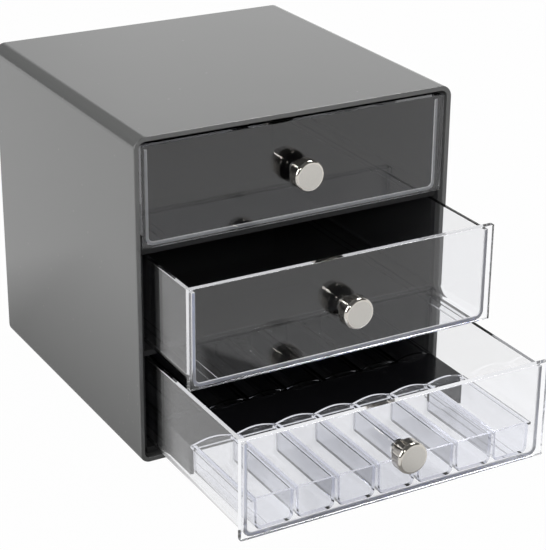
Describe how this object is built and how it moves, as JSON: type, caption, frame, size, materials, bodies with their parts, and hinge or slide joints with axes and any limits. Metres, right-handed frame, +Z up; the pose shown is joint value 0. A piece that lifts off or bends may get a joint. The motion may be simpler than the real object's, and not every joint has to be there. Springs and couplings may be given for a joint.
{
  "type": "cosmetics organizer with clear drawers",
  "caption": "Cube-shaped cosmetics organizer: a glossy grey housing with clear pull-out drawers on round nickel knobs, and a lift-out tray of wells in the lowest drawer.",
  "frame": {"origin": "middle of the housing's underside", "axes": "+Z up, +Y from the drawers' front to the housing's back, +X to the right seen from the front"},
  "size_m": [0.17, 0.2727, 0.164],
  "materials": {
    "shell": "glossy opaque grey plastic",
    "carcass": "satin black plastic",
    "clear_drawer": "clear polished plastic",
    "clear_front": "clear polished plastic",
    "clear_tray": "clear polished plastic",
    "bridge": "glossy black plastic",
    "knob": "nickel plate, satin face and polished edge",
    "screw": "bright zinc"
  },
  "bodies": {
    "housing": {"housing_shell": "shell", "back_panel": "shell", "left_liner": "carcass", "right_liner": "carcass", "base_panel": "carcass", "lower_shelf": "carcass", "upper_shelf": "carcass"},
    "top_drawer": {"top_drawer_box": "clear_drawer", "top_drawer_front": "clear_front", "top_knob": "knob", "top_knob_screw": "screw"},
    "middle_drawer": {"middle_drawer_box": "clear_drawer", "middle_drawer_front": "clear_front", "middle_knob": "knob", "middle_knob_screw": "screw"},
    "bottom_drawer": {"bottom_drawer_box": "clear_drawer", "bottom_drawer_front": "clear_front", "bottom_knob": "knob", "bottom_knob_screw": "screw"},
    "well_insert": {"front_well_tray": "clear_tray", "tray_bridge": "bridge", "rear_well_tray": "clear_tray"}
  },
  "joints": [
    {"name": "top_drawer_slide", "type": "slide", "parent": "housing", "child": "top_drawer", "axis": [0, -1, 0], "range_m": [0, 0.136]},
    {"name": "middle_drawer_slide", "type": "slide", "parent": "housing", "child": "middle_drawer", "axis": [0, -1, 0], "range_m": [-0.046, 0.09]},
    {"name": "bottom_drawer_slide", "type": "slide", "parent": "housing", "child": "bottom_drawer", "axis": [0, -1, 0], "range_m": [-0.094, 0.042]},
    {"name": "insert_lift", "type": "slide", "parent": "bottom_drawer", "child": "well_insert", "axis": [0, 0, 1], "range_m": [0, 0.022]}
  ]
}
